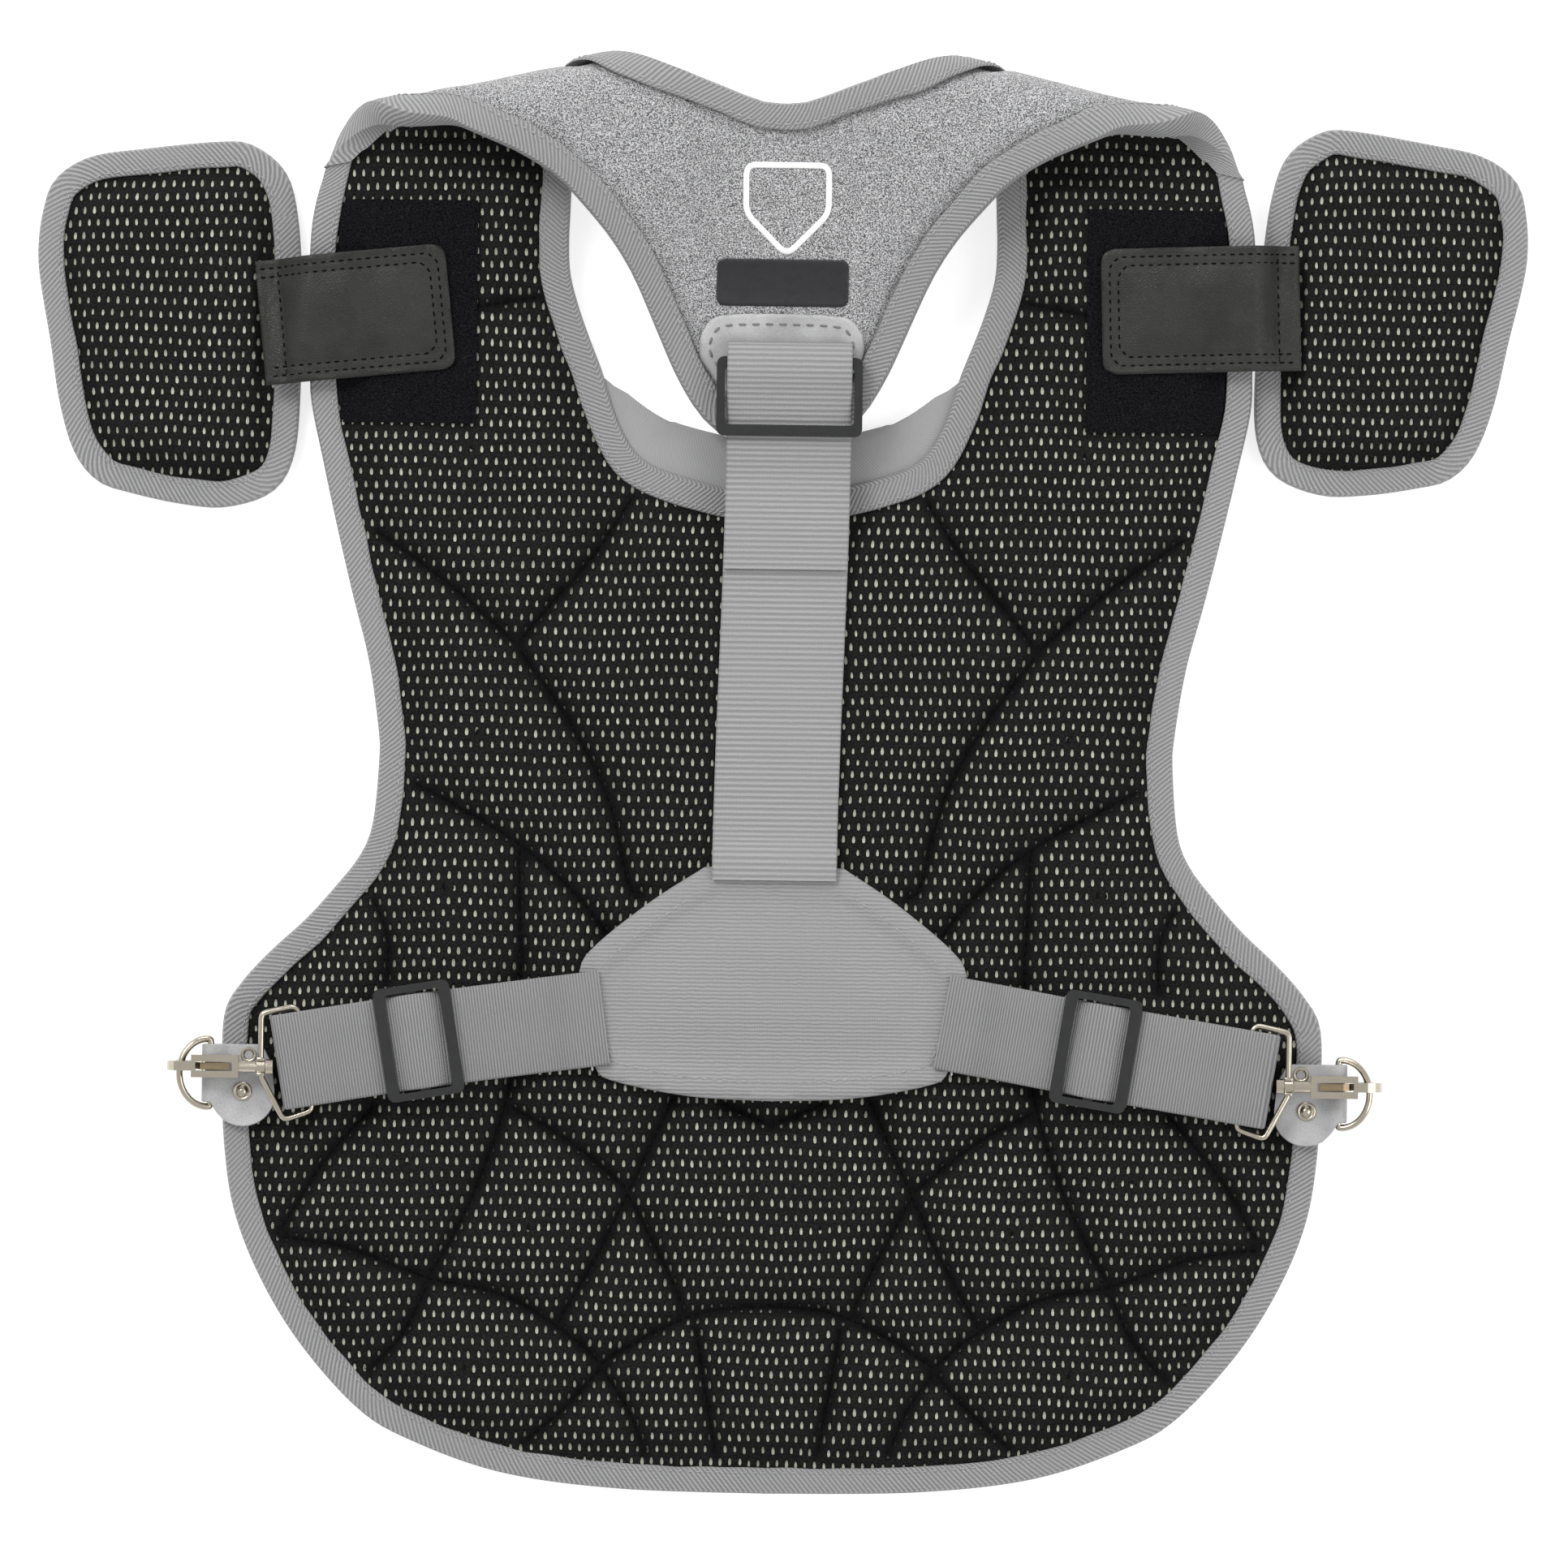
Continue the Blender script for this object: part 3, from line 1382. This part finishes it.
def build_side_strap(name, side):
    """Webbing from the plate, through the slide, round the bail's bar and back under the slide."""
    inner, slide, end = strap_path(side)
    half = WEB_THICKNESS / 2.0
    first_run = (slide - inner).normalized()
    second_run = (end - slide).normalized()
    plate_top = ON_PAD + PLATE_THICKNESS + PLATE_HEM_RISE
    on_lower = ON_PAD + WEB_THICKNESS + 2.0 * CLEARANCE
    on_bail = BAIL_LEVEL + BAIL_WIRE / 2.0 + CLEARANCE
    over_bar = on_lower + slide_bar_rise() + CLEARANCE
    bar = SLIDE_WIDTH / 2.0 - SLIDE_BAR
    edge = across(PLATE_END)
    run_in = SIDE_RUN
    leave = (edge - abs(inner.x)) / abs(first_run.x)
    first = (slide - inner).length
    second = (end - slide).length
    stations = [
        (inner, plate_top + 2.0 * CLEARANCE),
        (inner + first_run * leave, plate_top + 2.0 * CLEARANCE),
        (inner + first_run * (leave + run_in["off_plate"]), ON_PAD + 2.0 * CLEARANCE),
        (inner + first_run * (first - bar - run_in["to_slide"]), ON_PAD + 2.0 * CLEARANCE),
        (inner + first_run * (first - bar - SLIDE_BAR - run_in["past_bar"]), on_lower),
        (inner + first_run * (first - bar + run_in["past_bar"]), on_lower),
        (inner + first_run * (first - run_in["over_bar"] * bar), over_bar),
        (slide + second_run * (run_in["over_bar"] * bar), over_bar),
        (slide + second_run * (bar - run_in["past_bar"]), on_lower),
        (slide + second_run * (second - run_in["to_bail"]), on_lower),
        (slide + second_run * (second - run_in["on_bail"]), on_bail),
        (end - second_run * run_in["fold"], on_bail),
    ]
    top = [drape(point.x, point.y, level + half) for point, level in stations]
    back_level = ON_PAD + 0.5 * CLEARANCE + half
    back = [
        drape(*(end - second_run * run_in["fold"]), back_level),
        drape(*(slide + second_run * (second - run_in["back_bail"])), back_level),
        drape(*(slide + second_run * (bar + run_in["back_slide"])), back_level),
        drape(*(slide - first_run * (run_in["back_end"] * bar)), back_level),
    ]
    run = Vector((second_run.x, second_run.y, 0.0))
    start = top[-1]
    finish_point = back[0]
    turn = []
    for part in range(1, 6):
        angle = math.pi * part / 6
        blend = start.lerp(finish_point, 0.5 - 0.5 * math.cos(angle))
        turn.append(blend + run * (run_in["bulge"] * math.sin(angle)))
    points = top + turn + back
    ways = []
    for index, point in enumerate(points):
        flat = first_run if index < 7 else second_run
        if index in (6, 7):
            flat = (first_run + second_run).normalized()
        ways.append(Vector((-flat.y, flat.x, 0.0)))
    ways[-1] = Vector((-second_run.y, second_run.x, 0.0))
    if side["sign"] < 0:
        ways = [-way for way in ways]
    add_solid(name, strap_mesh(points, ways, SIDE_WEB_WIDTH, WEB_THICKNESS), "webbing")


def prism(name, outline, low, high):
    """An upright solid over a flat outline."""
    rings = [[Vector((point.x, point.y, height)) for point in outline] for height in (low, high)]
    return add_solid(name, ring_mesh(rings), "plastic")


def build_slide(name, side):
    """A slide: an open frame over the strap and a middle bar under it."""
    inner, slide, end = strap_path(side)
    sign = side["sign"]
    half_length = SIDE_WEB_WIDTH / 2.0 + 3.0 * CLEARANCE + SLIDE_SIDE
    level = lie(slide.x, slide.y) + ON_PAD + WEB_THICKNESS + 2.0 * CLEARANCE
    frame_level = level + WEB_THICKNESS + 2.0 * CLEARANCE
    low = frame_level - level
    outer = rounded_rectangle(SLIDE_WIDTH / 2.0, -half_length, half_length, FRAME_CORNER)
    frame = prism(name, outer, low, low + SLIDE_THICKNESS)
    opening = half_length - SLIDE_SIDE
    half_window = SLIDE_WIDTH / 2.0 - SLIDE_BAR
    inner_edge = rounded_rectangle(half_window, -opening, opening, WINDOW_CORNER)
    window = prism(name + "_window", inner_edge, low - SLIDE_THICKNESS, low + 2.0 * SLIDE_THICKNESS)
    cut_or_join(frame, [window], "DIFFERENCE")
    bar_height = slide_bar_rise()
    bar_size = (SLIDE_MIDDLE_BAR, 2.0 * half_length - SLIDE_SIDE, bar_height)
    bar = box(name + "_bar", (0.0, 0.0, bar_height / 2.0), bar_size)
    cut_or_join(frame, [bar], "UNION")
    run = (end - slide).normalized()
    slope = (lie(end.x, end.y) - lie(inner.x, inner.y)) / (end - inner).length
    frame.location = (slide.x, slide.y, level)
    frame.rotation_euler = (0.0, -sign * math.atan(slope), math.atan2(run.y * sign, run.x * sign))
    return frame


def metal_frame(side):
    """The swivel's place: its point in space and the way outward."""
    bail = place(side["bail"])
    sign = side["sign"]
    level = lie(bail.x, bail.y) + BAIL_LEVEL
    return Vector((sign * bail.x, bail.y, level)), sign


def wire_curve(name, points, radius, look, closed):
    """A wire as a bevelled curve."""
    curve = bpy.data.curves.new(name, "CURVE")
    curve.dimensions = "3D"
    curve.bevel_depth = radius
    curve.bevel_resolution = 1
    curve.use_fill_caps = not closed
    line = curve.splines.new("POLY")
    line.points.add(len(points) - 1)
    for knot, point in zip(line.points, points):
        knot.co = (*point, 1.0)
    line.use_cyclic_u = closed
    return add_object(name, curve, look)


# Bail corners from the swivel: outward and up the pattern, in metres
BAIL_ROWS = (
    # inward, upward
    (0.0000, 0.0200),
    (0.0010, 0.0215),
    (0.0122, 0.0240),
    (0.0140, 0.0232),
    (0.0148, 0.0214),
    (0.0204, -0.0150),
    (0.0200, -0.0170),
    (0.0184, -0.0180),
    (0.0104, -0.0208),
    (0.0088, -0.0200),
    (0.0012, -0.0058),
    (0.0000, -0.0036),
)


def build_bail(name, side):
    """The wire bail with the eye block in which the hook's post turns."""
    centre, sign = metal_frame(side)
    points = []
    for inward, upward in BAIL_ROWS:
        x = centre.x - sign * inward
        y = centre.y + upward
        points.append(Vector((x, y, lie(x, y) + BAIL_LEVEL)))
    wire = to_mesh_object(wire_curve(name, points, BAIL_WIRE / 2.0, "nickel", True))
    block = box(name + "_eye", centre, BAIL_EYE)
    cut_or_join(wire, [block], "UNION")
    bore = rod(name + "_bore", centre, POST_RADIUS + CLEARANCE, 2.0 * POST_LENGTH, "x")
    cut_or_join(wire, [bore], "DIFFERENCE")


def profile_solid(name, rows, width, centre, sign, look):
    """A flat outline in the upright plane, given outward and upward, with a width."""
    rings = []
    for shift in (-width / 2.0, width / 2.0):
        rings.append([Vector((centre.x + sign * out, centre.y + shift, centre.z + up))
                      for out, up in rows])
    return add_solid(name, ring_mesh(rings), look)


# Side view of the hook's jaw and of its gate: shares of the hook's length from the swivel
HOOK_ROWS = (
    # outward, upward
    (0.660, 0.070),
    (0.840, 0.066),
    (0.920, 0.030),
    (0.975, -0.040),
    (1.000, -0.120),
    (1.000, -0.185),
    (0.965, -0.262),
    (0.900, -0.305),
    (0.770, -0.313),
    (0.715, -0.288),
    (0.722, -0.256),
    (0.860, -0.250),
    (0.900, -0.222),
    (0.918, -0.175),
    (0.915, -0.120),
    (0.885, -0.070),
    (0.830, -0.042),
    (0.660, -0.050),
)
GATE_ROWS = (
    # outward, upward
    (0.330, 0.045),
    (0.580, 0.045),
    (0.642, 0.030),
    (0.660, -0.040),
    (0.682, -0.120),
    (0.735, -0.200),
    (0.768, -0.240),
    (0.725, -0.243),
    (0.690, -0.200),
    (0.640, -0.120),
    (0.620, -0.050),
    (0.570, -0.040),
    (0.330, -0.020),
)
PIVOT_OUT = 0.605
BODY_OUT = (0.235, 0.735)
SLOT_OUT = (0.300, 0.690)


def build_hook(name, side):
    """The swivel hook: head, post, barrel, slotted body and jaw in one casting."""
    centre, sign = metal_frame(side)
    length = HOOK_LENGTH
    hook = profile_solid(name, [(out * length, up * length) for out, up in HOOK_ROWS],
                         HOOK_ARM_WIDTH, centre, sign, "nickel")
    body_start, body_end = BODY_OUT
    body_middle = centre + Vector((sign * length * (body_start + body_end) / 2.0, 0.0, 0.0))
    body = box(name + "_body", body_middle, (length * (body_end - body_start), HOOK_BODY_WIDTH,
                                             HOOK_BODY_HEIGHT))
    slot_start, slot_end = SLOT_OUT
    slot_middle = centre + Vector((sign * length * (slot_start + slot_end) / 2.0, 0.0, 0.0))
    slot = box(name + "_slot", slot_middle, (length * (slot_end - slot_start), HOOK_SLOT_WIDTH,
                                             2.0 * HOOK_BODY_HEIGHT))
    cut_or_join(hook, [body], "UNION")
    cut_or_join(hook, [slot], "DIFFERENCE")
    barrel_middle = sign * (BARREL_START + BARREL_END) / 2.0
    barrel = rod(name + "_barrel", centre + Vector((barrel_middle, 0, 0)), BARREL_RADIUS,
                 BARREL_END - BARREL_START, "x")
    post = rod(name + "_post", centre + Vector((sign * POST_OUT, 0, 0)), POST_RADIUS, POST_LENGTH, "x")
    head = rod(name + "_head", centre + Vector((-sign * HEAD_IN, 0, 0)), HEAD_RADIUS, HEAD_LENGTH, "x")
    pin = rod(name + "_pin", centre + Vector((sign * length * PIVOT_OUT, 0, 0)), PIN_RADIUS,
              HOOK_BODY_WIDTH - PIN_SHORT, "y", PIN_SIDES)
    cut_or_join(hook, [barrel, post, head, pin], "UNION")


def build_gate(name, side):
    """The hook's spring lever, turning on its pin between the body's cheeks."""
    centre, sign = metal_frame(side)
    length = HOOK_LENGTH
    gate = profile_solid(name, [(out * length, up * length) for out, up in GATE_ROWS],
                         GATE_WIDTH, centre, sign, "nickel")
    bore = rod(name + "_bore", centre + Vector((sign * length * PIVOT_OUT, 0, 0)), PIN_BORE,
               HOOK_BODY_WIDTH, "y", PIN_SIDES)
    cut_or_join(gate, [bore], "DIFFERENCE")


def tab_level(side):
    """Height of the tab's underside: just over the edge tape."""
    bail = place(side["bail"])
    return lie(bail.x + TAPE_OUT, bail.y) + TAPE_TOP + CLEARANCE


def ring_centre(side):
    """The middle of the D-ring's bar, in the eye of the tab's fold."""
    centre, sign = metal_frame(side)
    level = tab_level(side) + LEATHER_THICKNESS + CLEARANCE + RING_WIRE / 2.0
    return Vector((centre.x + sign * RING_BAR_OUT, centre.y - RING_DOWN, level)), sign


def build_ring(name, side):
    """The D-ring, lifted towards the hook."""
    centre, sign = ring_centre(side)
    points = []
    for part in range(-6, 7):
        angle = math.pi / 2.0 * part / 6.0
        reach = RING_REACH * math.cos(angle) + RING_ROOT
        up = RING_HALF_HEIGHT * math.sin(angle)
        points.append(centre + Vector((sign * reach * math.cos(RING_TILT), up,
                                       reach * math.sin(RING_TILT))))
    for up in (RING_HALF_HEIGHT - RING_ROOT, 0.0, -RING_HALF_HEIGHT + RING_ROOT):
        points.append(centre + Vector((0.0, up, 0.0)))
    wire_curve(name, points, RING_WIRE / 2.0, "nickel", True)


def tab_outline(side):
    """The tab's outline in plan: straight at the ring, round at its inner end."""
    ring, sign = ring_centre(side)
    outer = ring.x + sign * (RING_WIRE / 2.0 + 3.0 * CLEARANCE + LEATHER_THICKNESS)
    lobe_in, lobe_down = TAB_LOBE
    lobe = Vector((ring.x - sign * lobe_in, ring.y - lobe_down))
    notch = ring.x - sign * (RING_WIRE / 2.0 + 3.0 * CLEARANCE)
    outline = [Vector((outer, ring.y + TAB_HALF_WIDTH)), Vector((outer, ring.y - TAB_HALF_WIDTH)),
               Vector((notch, ring.y - TAB_HALF_WIDTH))]
    for part in range(9):
        angle = math.radians(218 + 20 * part)
        outline.append(lobe + Vector((-sign * math.cos(angle), math.sin(angle))) * TAB_LOBE_RADIUS)
    for inward, upward in TAB_SHOULDER:
        outline.append(Vector((ring.x - sign * inward, ring.y + upward)))
    return outline


def rivet_places(side):
    """The big rivet and the small eyelet of a tab."""
    ring, sign = ring_centre(side)
    return [Vector((ring.x - sign * inward, ring.y + upward)) for inward, upward in RIVET_ROWS]


def build_tab(name, side):
    """The folded leather tab: an upright section along the ring's bar, cut to its outline."""
    ring, sign = ring_centre(side)
    level = tab_level(side)
    thick = LEATHER_THICKNESS
    low = level + thick / 2.0
    high = level + thick * 1.5 + CLEARANCE
    eye = RING_WIRE / 2.0 + CLEARANCE + thick / 2.0
    end_x = ring.x - sign * TAB_STRIP_LENGTH
    section = [Vector((end_x, 0.0, high)), Vector((ring.x - sign * TAB_NECK, 0.0, high)),
               Vector((ring.x - sign * 0.4 * TAB_NECK, 0.0, ring.z + 0.75 * eye))]
    for part in range(0, 7):
        angle = math.radians(90 - 30 * part)
        section.append(Vector((ring.x + sign * eye * math.cos(angle), 0.0,
                               ring.z + eye * math.sin(angle))))
    section.append(Vector((end_x, 0.0, low)))
    shift = Vector((0.0, ring.y, 0.0))
    ways = [Vector((0.0, 1.0, 0.0))] * len(section)
    strip = strap_mesh([point + shift for point in section], ways, 2.0 * TAB_STRIP_LENGTH, thick)
    tab = add_solid(name, strip, "leather")
    outline = tab_outline(side)
    rings = [[Vector((point.x, point.y, height)) for point in outline]
             for height in (level - TAB_STRIP_LENGTH, level + TAB_STRIP_LENGTH)]
    cutter = add_solid(name + "_cutter", ring_mesh(rings), "leather")
    cut_or_join(tab, [cutter], "INTERSECT")
    holes = [rod(name + "_hole", (spot.x, spot.y, level), SHANK_RADIUS + CLEARANCE, TAB_STRIP_LENGTH,
                 "z", RIVET_SIDES) for spot in rivet_places(side)]
    cut_or_join(tab, holes, "DIFFERENCE")


def build_rivets(side_name, side):
    """Domed rivets whose shanks go through both layers of the tab."""
    level = tab_level(side)
    top = level + 2.0 * LEATHER_THICKNESS + 2.0 * CLEARANCE
    names = ("tab_rivet_", "tab_eyelet_")
    for name, spot, radius in zip(names, rivet_places(side), (RIVET_RADIUS, EYELET_RADIUS)):
        profile = (
            (0.0, level),
            (SHANK_RADIUS, level),
            (SHANK_RADIUS, top),
            (radius, top),
            (radius, top + RIVET_RIM),
            (0.75 * radius, top + RIVET_SHOULDER),
            (0.0, top + RIVET_DOME),
        )
        data = bpy.data.meshes.new(name + side_name)
        shape = bmesh.new()
        knots = [shape.verts.new((radius_at, 0.0, height)) for radius_at, height in profile]
        for first, second in zip(knots, knots[1:]):
            shape.edges.new((first, second))
        shape.to_mesh(data)
        shape.free()
        node = add_object(name + side_name, data, "nickel")
        node.location = (spot.x, spot.y, 0.0)
        turn = node.modifiers.new("turn", "SCREW")
        turn.steps = RIVET_SIDES
        turn.render_steps = RIVET_SIDES
        turn.use_merge_vertices = True
        turn.merge_threshold = 0.00001
        turn.use_normal_calculate = True


# The shoulder caps and their straps


def cap_point(side, out, up):
    """A point of a cap's pattern: shares of its half sizes, turned and put in place."""
    turn = math.radians(side["cap_turn"])
    local = Vector((out * CAP_HALF_WIDTH, up * CAP_HALF_LENGTH))
    turned = Vector((local.x * math.cos(turn) - local.y * -math.sin(turn),
                     local.x * -math.sin(turn) + local.y * math.cos(turn)))
    middle = place(side["cap"])
    return Vector((side["sign"] * (middle.x + turned.x), middle.y + turned.y))


def floor_lift(x, y, height):
    return Vector((x, y, height))


def build_cap(side_name, side):
    rows = [cap_point(side, out, up) for out, up in CAP_ROWS]
    if side["sign"] > 0:
        rows.reverse()
    finished = spline(rows, EDGE_STEP, closed=True)
    outline = shifted(finished, TAPE_WRAP, closed=True)
    loop = outline + outline[:1]
    flat_ring = thinned(ring_inside(outline, TAPE_LEG + 2.0 * RIM_SET), CAP_RIM_GAP)
    deep_ring = thinned(ring_inside(outline, TAPE_LEG + CAP_SLOPE), CAP_DEEP_GAP)

    def edge_share(x, y):
        reach = distance_to([loop], Vector((x, y)))
        return ease((reach - TAPE_LEG - CAP_FLAT) / (CAP_SLOPE - CAP_ROUND))

    def top(x, y):
        return FLANGE_TOP + (CAP_CROWN - FLANGE_TOP) * edge_share(x, y)

    def bottom(x, y):
        return EDGE_LIFT * (1.0 - edge_share(x, y))

    points = flat_ring + deep_ring
    points += lattice(outline, [loop, flat_ring, deep_ring], BODY_STEP * 1.6)
    mesh = slab_mesh(outline, top, bottom, floor_lift, points, points)
    add_solid("shoulder_cap_" + side_name, mesh, "mesh")
    outward = normals(outline, closed=True)
    mesh = tape_mesh(outline, outward, EDGE_LIFT, FLANGE_TOP, TAPE_LEG, floor_lift, closed=True)
    add_solid("cap_edge_tape_" + side_name, mesh, "tape")


def build_loop_patch(side_name, side):
    corners = loop_corners(side["sign"])
    outline = rectangle_run(corners, LOOP_EDGE_STEP)
    points = lattice(outline, [outline + outline[:1]], LOOP_STEP)
    seat = LOOP_SEAT + 2.0 * CLEARANCE
    mesh = slab_mesh(outline, lambda x, y: seat + LOOP_PATCH_THICKNESS, lambda x, y: seat, drape,
                     points, points)
    add_solid("loop_patch_" + side_name, mesh, "fleece")


def build_cap_strap(side_name, side):
    """The leather strap from the cap's crown up onto the fleece patch, round at its inner end."""
    sign = side["sign"]
    turn = math.radians(side["cap_strap_turn"])
    start = Vector((across(side["cap_strap_inner"]), along(side["cap_strap_along"])))
    run = Vector((math.cos(turn), math.sin(turn)))
    way = Vector((-run.y, run.x))
    body_edge = across(SIDE_ROWS[2][0])
    cap_edge = place(side["cap"]).x - CAP_HALF_WIDTH
    length = (cap_edge - start.x) / run.x + CAP_STRAP_LAP
    half = CAP_STRAP_WIDTH / 2.0
    corner = CAP_STRAP_CORNER
    rows = [(length, -half), (length, half), (corner, half), (0.3 * corner, half - 0.3 * corner),
            (0.0, half - corner), (0.0, corner - half), (0.3 * corner, 0.3 * corner - half),
            (corner, -half)]
    flat = [start + run * row[0] + way * row[1] for row in rows]
    flat = [Vector((sign * point.x, point.y)) for point in flat]
    if sign < 0:
        flat.reverse()
    outline = rectangle_run(flat, CAP_STRAP_EDGE_STEP)

    def seat(x, y, height):
        over_patch = lie(x, y) + LOOP_SEAT + LOOP_PATCH_THICKNESS + 4.0 * CLEARANCE
        start_x = body_edge - SEAT_MARGIN
        share = ease((abs(x) - start_x) / (cap_edge + CAP_STRAP_CORNER - body_edge))
        on_cap = CAP_CROWN + CLEARANCE
        return Vector((x, y, over_patch + (on_cap - over_patch) * share + height))

    points = lattice(outline, [outline + outline[:1]], CAP_STRAP_STEP)
    thick = LEATHER_THICKNESS
    mesh = slab_mesh(outline, lambda x, y: thick, lambda x, y: 0.0, seat, points, points)
    add_solid("cap_strap_" + side_name, mesh, "black_leather")


def main():
    start_clean()
    body = Body()
    build_front_cover(body)
    build_chest_pad(body)
    build_body_tapes()
    build_neck_band()
    build_yoke()
    build_patches()
    build_back_strap()
    build_tri_glide()
    build_back_plate()
    for side_name, side in SIDES.items():
        build_side_strap("side_strap_" + side_name, side)
        build_slide("side_slide_" + side_name, side)
        build_bail("bail_" + side_name, side)
        build_hook("hook_" + side_name, side)
        build_gate("gate_" + side_name, side)
        build_ring("d_ring_" + side_name, side)
        build_tab("ring_tab_" + side_name, side)
        build_rivets(side_name, side)
        build_cap(side_name, side)
        build_loop_patch(side_name, side)
        build_cap_strap(side_name, side)


main()
